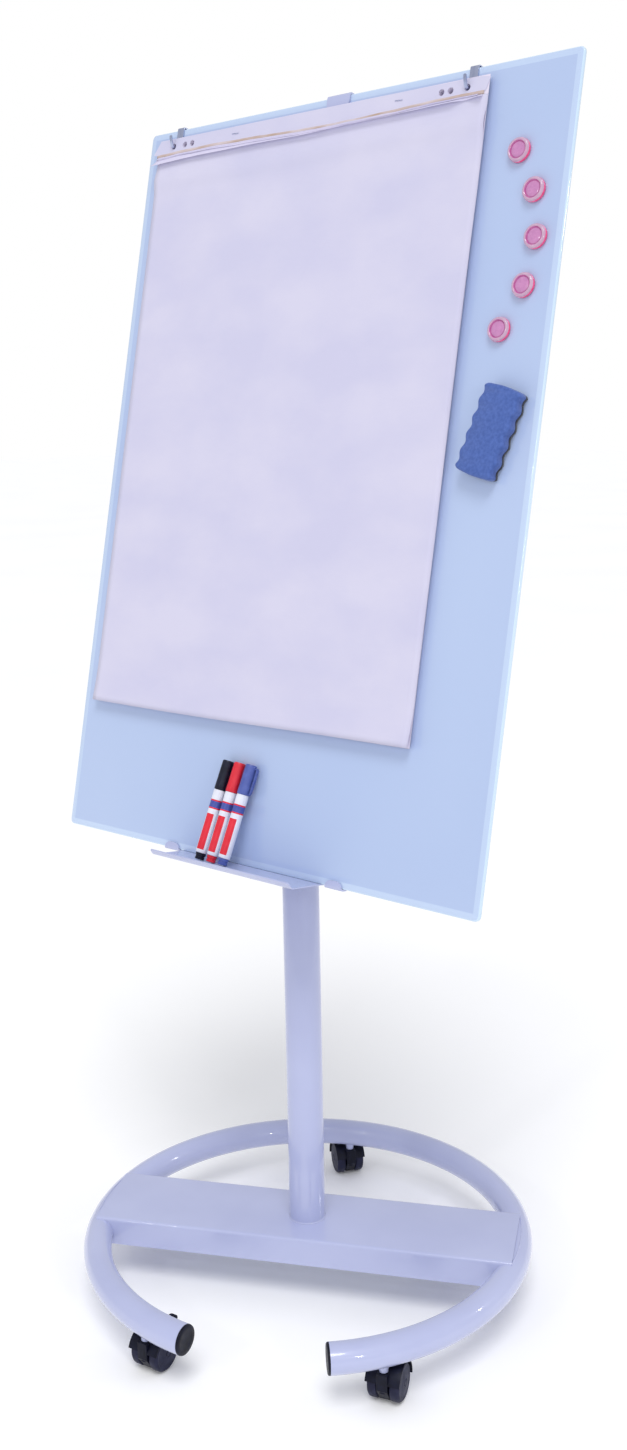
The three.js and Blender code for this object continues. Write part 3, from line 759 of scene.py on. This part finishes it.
# ---- pad ----
PAD_LEFT, PAD_RIGHT, PAD_TOP, PAD_BOTTOM = -342, 250, 1032.5, 191.5
HOOK_X = (-311, 216)
HOLES = (-311, -288, -273, 176, 190, 216)
HOLE_Z = 1021
LEAVES = 12  # the block is drawn as this many thin layers
PAD_HANG = 1.7  # how much nearer the glass the pad's foot lies than its top


def hang(solid):
    """Leans a flat pad piece back from its top until its foot rests on the glass."""
    verts, faces = solid
    reach = PAD_TOP - PAD_BOTTOM
    leaned = [Vector((x, y + PAD_HANG * (PAD_TOP - z) / reach, z)) for x, y, z in verts]
    return leaned, faces


def hole_cutters(radius):
    profile = [(radius, -14), (radius, -1)]
    return [moved(turned(profile, 20), Matrix.Translation((x, 0, HOLE_Z)) @ ALONG_Y) for x in HOLES]


def leaf(left, right, low, high, y, thick, wander):
    """One thin layer of the block, its edges wandering a little."""
    columns, rows = 14, 40
    seed = random.uniform(0, 50)

    def point(u, v):
        edge = noise.noise(Vector((seed, v * 5, u * 2))) * wander
        slow = 1.5 * noise.noise(Vector((7, v * 4, u)))
        x = left + (right - left) * u + (edge + slow if u > 0.5 else edge * 0.5)
        z = low + (high - low) * v + (edge if v < 0.5 else 0)
        return x, z

    across = [k / columns for k in range(columns)]
    along = [k / rows for k in range(rows)]
    loop = [point(u, 0) for u in across] + [point(1, v) for v in along]
    loop += [point(1 - u, 1) for u in across] + [point(0, 1 - v) for v in along]
    return slab(loop, [(0, y), (0, y - thick)])


def make_pad():
    """A card and a block of leaves. At the right the block draws in towards its back."""
    inset, step = 7, 0.45  # the back layer's draw, and how much less each next one has
    pitch, thick = 0.62, 0.59
    outline = rectangle(PAD_LEFT + 0.5, PAD_BOTTOM, PAD_RIGHT - inset - 0.5, PAD_TOP, 1)
    card = slab(outline, rounded_layers(-3.2, -2, 0.2))
    back = make("pad_back_card", hang(card), CARD, "pad", BOARD, ["pad_card_back"])
    drill(back, hole_cutters(4.6), BOARD)
    layers = []
    for k in range(LEAVES):
        right = PAD_RIGHT - inset + step * k
        top = PAD_TOP + (0.3 if k == LEAVES - 1 else 0)
        y = -3.4 - pitch * k
        layers.append(leaf(PAD_LEFT + 0.6, right, PAD_BOTTOM + 1, top, y, thick, 0.5))
    # The block's visible sides carry the leaf edges' painted highlight.
    block = make("pad_leaves", hang(merged(*layers)), LEAF_EDGES_LIT, "pad", BOARD, ["pad_sheets"])
    drill(block, hole_cutters(4.4), BOARD)
    make_header()


def wavy(x, seed, size, span=70):
    return size * noise.noise(Vector((x / span, seed, 0.3)))


def slow_wave(x):
    """The long wave that the tear line and the lower torn flap share."""
    return math.cos((x + 235) / 72)


def tear_line(x):
    """The height of the header strip's torn lower edge, a slow wave with a little raggedness."""
    return 1010.9 + 2.3 * slow_wave(x) + wavy(x, 3.7, 0.7, 24)


def grid_faces(columns, rows):
    """The faces between points that were laid down column by column."""
    faces = []
    for i in range(columns):
        for j in range(rows):
            a = i * (rows + 1) + j
            faces.append([a, a + 1, a + rows + 2, a + rows + 1])
    return faces


def ribbon(name, top, bottom, out, look, body, left, right, columns=150, rows=8, thick=0.3):
    """A strip of paper from top(x) down to bottom(x), out(x, t) in front, its left end at left(t)."""
    verts = []
    for i in range(columns + 1):
        x = left(0) + (right - left(0)) * i / columns
        for j in range(rows + 1):
            t = j / rows
            z = top(x) + (bottom(x) - top(x)) * t
            shift = (left(t) - left(0)) * math.exp(-(x - left(0)) / 20)
            verts.append(Vector((x + shift, -out(x, t), z)))
    piece = make(name, (verts, grid_faces(columns, rows)), look, body, BOARD, sharp=60)
    thicken(piece, thick)
    return piece


def thicken(piece, millimetres):
    solid = piece.modifiers.new("thickness", "SOLIDIFY")
    solid.thickness = millimetres / 1000
    solid.offset = 0


def make_header():
    """The stub left by torn-off sheets: a holed strip, with a glue line under its torn edge."""
    top_edge = []
    for k in range(41):
        x = PAD_LEFT + 2 + (PAD_RIGHT - PAD_LEFT - 2) * k / 40
        corner = 3 * math.exp(-((x - PAD_RIGHT) / 9) ** 2)
        top_edge.append((x, PAD_TOP - 0.4 + wavy(x, 2, 0.9) - corner))
    tip = tear_line(PAD_LEFT)
    low_edge = [(PAD_LEFT - 10.5, tip + 2), (PAD_LEFT - 9.5, tip + 1)]
    for k in range(81):
        x = PAD_LEFT + 2 + (PAD_RIGHT - PAD_LEFT - 8) * k / 80
        low_edge.append((x, tear_line(x)))
    strip = slab(low_edge + top_edge[::-1], [(0, -11), (0, -11.6)])
    header = make("pad_header", strip, PAPER, "pad", BOARD)
    drill(header, hole_cutters(4.4), BOARD)

    def out(x, t):
        return 11.2 + 0.7 * math.sin(math.pi * t)

    ribbon("pad_glue_line", lambda x: tear_line(x) + 1, lambda x: tear_line(x) - 4.2, out, GLUE,
           "pad", lambda t: PAD_LEFT - 3, PAD_RIGHT - 8, rows=4, thick=0.4)
    for k, x in enumerate((-185, 108)):
        wire = [(x - 6, -11.4, 1022), (x - 6, -12.1, 1022.2),
                (x + 6, -12.1, 1021.6), (x + 6, -11.4, 1021.4)]
        make(f"pad_staple_{k + 1}", rod(wire, 0.45, 8), STEEL, "pad", BOARD)


def make_front_sheet():
    """The loose sheet: held along the tear line, hanging nearly flat, with its bottom curling out."""
    columns, rows = 60, 140
    top, bottom = 1008, PAD_BOTTOM
    verts = []
    for i in range(columns + 1):
        u = i / columns
        for j in range(rows + 1):
            t = (j / rows) ** 1.35
            slow = 1.5 * noise.noise(Vector((7, (1 - t) * 4, 1))) * max(0, u - 0.3)
            x = PAD_LEFT + 0.4 + (PAD_RIGHT - PAD_LEFT - 1.6) * u + slow
            z = top + (bottom - top) * t - 1.2 * math.sin(u * 5) * t
            curl = 5.5 * max(0, (t - 0.93) / 0.07) ** 1.6 * (0.65 + 0.35 * u)
            inner = min(1, 12 * u * (1 - u))
            drift = 0.7 + 0.3 * noise.noise(Vector((u * 2, t * 2, 1)))
            swell = 0.9 * math.sin(math.pi * t) * inner * drift
            ripple = 0.4 * noise.noise(Vector((u * 4 + 3, t * 6, 2))) * inner
            drop = top - z
            crease_at = 14 + 1.5 * math.sin(u * 6)
            crease = 1.2 * math.exp(-((drop - crease_at) / 2.5) ** 2) * u
            roll = 4 * math.exp(-((drop - crease_at - 22) / 14) ** 2)
            y = -11.8 - curl - swell - ripple - roll * 0.8 + crease * 0.6
            verts.append(Vector((x, y, z)))
    surface = hang((verts, grid_faces(columns, rows)))
    sheet = make("loose_sheet", surface, PAPER, "front_sheet", BOARD, ["front_sheet"], sharp=60)
    thicken(sheet, 0.3)
    make_torn_flaps()


def make_torn_flaps():
    """Two ridged, torn flaps under the glue line, lifting at their lower edges."""
    def along(x):
        return (x - PAD_LEFT) / (PAD_RIGHT - PAD_LEFT)

    def upper_top(x):
        return tear_line(x) - 3.4

    def upper_low(x):
        return tear_line(x) - 8.2 + 2.6 * along(x) - wavy(x, 6, 1.6, 120)

    def upper_out(x, t):
        return 11.8 + 1.8 * t + 0.5 * math.sin(t * 9 + wavy(x, 8, 4, 90))

    def lower_top(x):
        return tear_line(x) - 5

    def lower_low(x):
        return 995.5 + 8.5 * along(x) + 0.7 * slow_wave(x) + wavy(x, 12, 1.6, 110)

    def lower_out(x, t):
        # It lies lower by the right hook, so that it turns past it.
        under_hook = 1 - 0.8 * math.exp(-((x - HOOK_X[1]) / 14) ** 2)
        return 12.1 + 5.2 * under_hook * t ** 1.8 + 0.3 * math.sin(t * 7 + wavy(x, 10, 3, 90))

    ribbon("torn_flap_upper", upper_top, upper_low, upper_out, TORN, "front_sheet",
           lambda t: PAD_LEFT - 3 * t, PAD_RIGHT - 16, rows=16)
    ribbon("torn_flap_lower", lower_top, lower_low, lower_out, TORN, "front_sheet",
           lambda t: PAD_LEFT + 1 - 11 * t, PAD_RIGHT - 9, rows=16)


def make_hook(name, x):
    """A strap over the glass's top edge, with a narrow prong through the pad's hole and up."""
    thick = 1.4
    over = [(9.7, 1000), (9.7, 1052.5), (-1.1, 1052.5), (-1.1, 1019)]
    wide = strap(over, x, 13, thick, 2.2, 4, 2)
    arc = [(-0.9, 1023), (-6, 1020.2), (-11.5, 1019), (-15, 1020.6), (-17.4, 1025), (-19.2, 1030),
           (-20.4, 1035)]
    prong = strap(arc, x, 4.6, thick, 2, 0, 2.2)
    make(f"{name}_strap", merged(wide, prong), STEEL, "pad", BOARD, [name], bevel=0.3)


# ---- magnets, eraser, markers ----
def make_magnet(index):
    """A button magnet: a rim painted with a glow of refracted light, a pale clear bevel, and a tinted
    core in a shallow well whose wall is painted darker as shade.
    """
    low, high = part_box(f"magnet_{index}")
    middle = BOARD.inverted() @ ((low + high) / 2)
    sides = 56
    rim = [(0, 0.35), (14.4, 0.35), (15.2, 1), (15.5, 2.2), (15.5, 4.4)]
    bevel = [(15.3, 5.2), (14.4, 7.1), (13.4, 7.9), (12.3, 8)]
    well = [(11.5, 7.6), (10.7, 6.6), (10.4, 5.9), (0, 5.8)]
    # The rim's faces take the painted glow of refracted light; the well's wall takes painted shade.
    clear, glowing_rim, shaded_well = 0, 1, 2
    bands = [glowing_rim] * len(rim) + [clear] * len(bevel) + [shaded_well] * (len(well) - 1)
    kinds = [band for band in bands for _ in range(sides)] + [glowing_rim, shaded_well]
    outward = Matrix.Translation((middle.x, 0, middle.z)) @ Matrix.Rotation(math.pi / 2, 4, "X")
    body = f"magnet_{index}"
    shell = moved(turned(rim + bevel + well, sides), outward)
    make(f"magnet_shell_{index}", shell, CLEAR, body, BOARD, [body],
         more=[RIM_PAINTED_GLOW, WELL_PAINTED_SHADE], kinds=kinds)
    core = [(0, 5.85), (9.6, 5.85), (9.5, 6.2), (8.8, 6.6), (6, 6.8), (0, 6.9)]
    make(f"magnet_core_{index}", moved(turned(core, sides), outward), CORE, body, BOARD)


def scalloped(width, height, lobes, depth):
    """A rectangle whose long sides wave in shallow lobes and whose ends bow out a little."""
    points = []
    steps = (lobes - 1) * 12
    for side in (1, -1):
        for k in range(steps + 1):
            t = k / steps
            swell = depth * (0.5 + 0.5 * math.cos(2 * math.pi * (lobes - 1) * t) - 1)
            points.append((side * (width / 2 + swell), side * (t - 0.5) * height))
        for k in range(1, 12):
            t = k / 12
            bow = 1.8 * math.sin(math.pi * t) ** 2
            points.append((side * width * (0.5 - t), side * (height / 2 + bow)))
    return points


ERASER_HALF = Vector((29, 55))  # half its width and length between the lobes' crests
ERASER_TURN = math.radians(16.8)  # its top leans to the right


def drawn_in(outline, draw, y):
    """The eraser's outline at depth y, shrunk evenly by draw millimetres."""
    across, along = 1 - draw / ERASER_HALF.x, 1 - draw / ERASER_HALF.y
    return [Vector((p.x * across, y, p.y * along)) for p in outline]


def make_eraser():
    low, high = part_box("eraser_felt")
    middle = BOARD.inverted() @ ((low + high) / 2)
    at = BOARD @ Matrix.Translation((middle.x, 0, middle.z)) @ Matrix.Rotation(ERASER_TURN, 4, "Y")
    corners = soften(scalloped(2 * ERASER_HALF.x, 2 * ERASER_HALF.y, 6, 3.6), 1.2, 2, closed=True)
    outline = [round_corner(p, ERASER_HALF.x, ERASER_HALF.y, 7) for p in corners]
    foam_layers = [(0.6, -5.6), (0, -6.4), (0.2, -17.2), (0.7, -18.8), (1.6, -20), (2.8, -20.6)]
    foam = skin([drawn_in(outline, draw, y) for draw, y in foam_layers])
    make("eraser_grip", foam, FOAM, "eraser", at, ["eraser_body"], sharp=50)
    felt_layers = [(1.4, -0.35), (0.8, -0.9), (0.8, -4.8), (1.2, -5.3)]
    felt = skin([drawn_in(outline, draw, y) for draw, y in felt_layers])
    make("eraser_pad", felt, FELT, "eraser", at, ["eraser_felt"], sharp=50)


def round_corner(p, half_w, half_h, radius):
    """Pulls a point of the outline in to a round corner, if it lies in one."""
    dx, dz = abs(p.x) - (half_w - radius), abs(p.y) - (half_h - radius)
    if dx <= 0 or dz <= 0:
        return p
    reach = math.hypot(dx, dz)
    if reach <= radius:
        return p
    x = half_w - radius + dx * radius / reach
    z = half_h - radius + dz * radius / reach
    return Vector((math.copysign(x, p.x), math.copysign(z, p.y)))


MARKER_X = {"black": -61.5, "red": -40, "blue": -18.5}
MARKER_FOOT = (-35, -0.2)  # its y and z, on the tray
MARKER_ASLANT, MARKER_LEAN = math.radians(3.7), math.radians(-10.6)  # to the right, and back
CLIP_TURN = {"black": -20, "red": -10, "blue": -80}  # degrees from behind; -90 is to the right
BARREL, CAP, MARKER_R = 98, 42, 8.3
STRIPE_Z = (14, 64)  # the red stripe down the front of each barrel
STRIPE_MIDDLE, STRIPE_HALF = 282, 42  # degrees round the barrel, where 270 is straight in front
BAND_Z = (71, 73, 82, 84)  # the plain blue band round it, between two thin red lines


def make_marker(name, x):
    """A capped marker standing in the tray, with a stripe and a band printed on its barrel."""
    aslant = Matrix.Rotation(MARKER_ASLANT, 4, "Y")
    lean = Matrix.Rotation(MARKER_LEAN, 4, "X")
    at = BOARD @ Matrix.Translation((x, *MARKER_FOOT)) @ aslant @ lean
    ink = INK[name]
    sides = 60
    foot = [(0, 0.9), (3.6, 0.9), (4, 0), (6, 0), (6.5, 0.5), (6.7, 3), (6.2, 3.4), (6.2, 5),
            (6.9, 5.4), (7.1, 9)]
    straight = [(MARKER_R, z) for z in (10.4, *STRIPE_Z, *BAND_Z, 97)]
    barrel = [(7.6, 9.2), (8.1, 9.6), *straight, (8, BARREL)]
    nib = [(6.2, BARREL), (5, 114), (2.6, 114), (2.2, 121), (1, 123), (0, 123)]
    profile = foot + barrel + nib
    white, inked, red, blue = 0, 1, 2, 3

    def printed(z, angle):
        beside = abs((angle - STRIPE_MIDDLE + 180) % 360 - 180)
        if z < 9.3 or z > 98.5:
            return inked
        if BAND_Z[1] < z < BAND_Z[2]:
            return blue
        stripe = STRIPE_Z[0] < z < STRIPE_Z[1] and beside < STRIPE_HALF
        line = BAND_Z[0] < z < BAND_Z[3]
        return red if stripe or line else white

    kinds = []
    for (_, z0), (_, z1) in zip(profile, profile[1:]):
        kinds += [printed((z0 + z1) / 2, 360 * (k + 0.5) / sides) for k in range(sides)]
    kinds += [inked, inked]
    make(f"marker_{name}_body", turned(profile, sides), WHITE, f"marker_{name}", at,
         [f"marker_{name}_barrel"], more=[ink, STRIPE_RED, STRIPE_BLUE], kinds=kinds, sharp=40)
    make_cap(name, at, ink)


def make_cap(name, at, ink):
    """A cap with fine ribs round its closed end, and a pocket clip down one side."""
    start, end, bore, crown = BARREL + 0.3, BARREL + CAP, 7.1, 6
    sides, ribs, rib = 72, 24, 0.35
    profile = [(bore, start, 0), (8.5, start, 0), (8.7, start + 0.6, 0), (8.6, start + 9, 0),
               (8.5, start + 10, rib), (8.2, end - 3, rib), (8, end - 1.6, 0), (7.3, end - 0.4, 0),
               (crown, end, 0)]
    rings = []
    for r, z, depth in profile:
        ring = []
        for k in range(sides):
            a = 2 * math.pi * k / sides
            radius = r - depth * (0.5 + 0.5 * math.cos(ribs * a))
            ring.append(Vector((radius * math.cos(a), radius * math.sin(a), z)))
        rings.append(ring)
    shell = skin(rings, caps=False)
    top = turned([(crown, end), (0, end)], sides)
    hollow = turned([(bore, start), (bore, end - 3), (0, end - 3)], sides)
    line = [(8, end - 5), (11.4, end - 3.4), (11.9, end - 8), (11.3, end - 36), (9.6, end - 41)]
    turn = Matrix.Rotation(math.radians(CLIP_TURN[name]), 4, "Z")
    clip = moved(strap(line, 0, 5, 1.3, 2, 1, 2), turn)
    lid = merged(shell, top, hollow, clip)
    make(f"marker_{name}_lid", lid, ink, f"cap_{name}", at, [f"marker_{name}_cap"])


# ---- stage ----
CAMERA_AT = (1.3194, -1.4886, 1.2378)  # metres
CAMERA_TURN = (80.463, 1.122, 41.082)  # degrees
CAMERA_LENS = 36.305  # millimetres
CAMERA_SHIFT = (0.00697, -0.0345)


def add_light(name, at, size, power):
    """A small round lamp aimed at the easel, for its highlights."""
    data = bpy.data.lights.new(name, "AREA")
    data.shape = "DISK"
    data.size = size
    data.energy = power
    light = add(name, data)
    light.location = at
    light.rotation_euler = (Vector((0, 0, 0.6)) - Vector(at)).to_track_quat("-Z", "Y").to_euler()


def floor_material():
    look = Look("studio_floor", "painted_steel", Specular_IOR_Level=0.05, Emission_Strength=0.045)
    look.shader.inputs["Emission Color"].default_value = (1, 1, 1, 1)
    look.colour((252, 252, 253), (255, 255, 255), look.noise(0.8, 3))
    look.rough(0.85, 0.95, look.noise(3))
    return look.bump(0.05, look.noise(60, 3), 0.02).material


def studio_world():
    """A white backdrop whose light on the object is a little softer than its brightness."""
    world = bpy.data.worlds.new("studio")
    world.use_nodes = True
    tree = world.node_tree
    backdrop = tree.nodes["Background"]
    backdrop.inputs["Color"].default_value = (1, 1, 1, 1)
    backdrop.inputs["Strength"].default_value = 1.0
    dome = tree.nodes.new("ShaderNodeBackground")
    dome.inputs["Color"].default_value = (0.96, 0.97, 1, 1)
    dome.inputs["Strength"].default_value = 0.66
    seen = tree.nodes.new("ShaderNodeLightPath")
    mix = tree.nodes.new("ShaderNodeMixShader")
    tree.links.new(seen.outputs["Is Camera Ray"], mix.inputs[0])
    tree.links.new(dome.outputs["Background"], mix.inputs[1])
    tree.links.new(backdrop.outputs["Background"], mix.inputs[2])
    tree.links.new(mix.outputs["Shader"], tree.nodes["World Output"].inputs["Surface"])
    return world


def make_stage():
    mesh = bpy.data.meshes.new("studio_floor")
    size = 60
    corners = [(-size, -size), (size, -size), (size, size), (-size, size)]
    mesh.from_pydata([(x, y, -0.0005) for x, y in corners], [], [[0, 1, 2, 3]])
    mesh.materials.append(floor_material())
    add("studio_floor", mesh)
    scene.world = studio_world()
    sun = bpy.data.lights.new("sky_light", "SUN")
    sun.energy = 1.25
    sun.angle = math.radians(25)
    light = add("sky_light", sun)
    light.rotation_euler = Vector((-0.34, 0.40, -0.85)).to_track_quat("-Z", "Y").to_euler()
    add_light("front", (0.2, -3.6, 2.6), 0.22, 8)
    add_light("right", (3.2, -1.6, 1.7), 0.26, 6)
    add_light("far_right", (3.0, 2.65, 2.2), 0.3, 8)
    data = bpy.data.cameras.new("camera")
    data.lens = CAMERA_LENS
    data.sensor_width = 36
    data.shift_x, data.shift_y = CAMERA_SHIFT
    data.clip_end = 200
    camera = add("camera", data)
    camera.location = CAMERA_AT
    camera.rotation_euler = [math.radians(a) for a in CAMERA_TURN]
    scene.camera = camera
    scene.view_settings.view_transform = "Standard"


# ---- the whole easel ----
make_stage()
make_ring()
make_crossbar()
make_seam_weld()
make_end_caps()
finish_node("ballast_plate", STEEL, 0.8)
finish_node("foot_bolt", STEEL, 0.5)
for castor in CASTORS:
    place = castor_frame(castor)
    make_hood(castor, place)
    make_wheel(castor, "a", place)
    make_wheel(castor, "b", place)
    if castor != "rear":
        make_brake(castor, place)
make_column()
make_height_knob()
make_head()
make_tilt_knob()
make_glass()
make_back_frame()
make_clip("top_clip", -5, 20, 18, 10, True)
make_clip("bottom_clip_left", -149, 14, 8.5, 9.5, False)
make_clip("bottom_clip_right", 149, 14, 8.5, 9.5, False)
make_tray()
make_pad()
make_front_sheet()
for side, x in zip(("hook_left", "hook_right"), HOOK_X):
    make_hook(side, x)
for number in range(1, 6):
    make_magnet(number)
make_eraser()
for colour, x in MARKER_X.items():
    make_marker(colour, x)
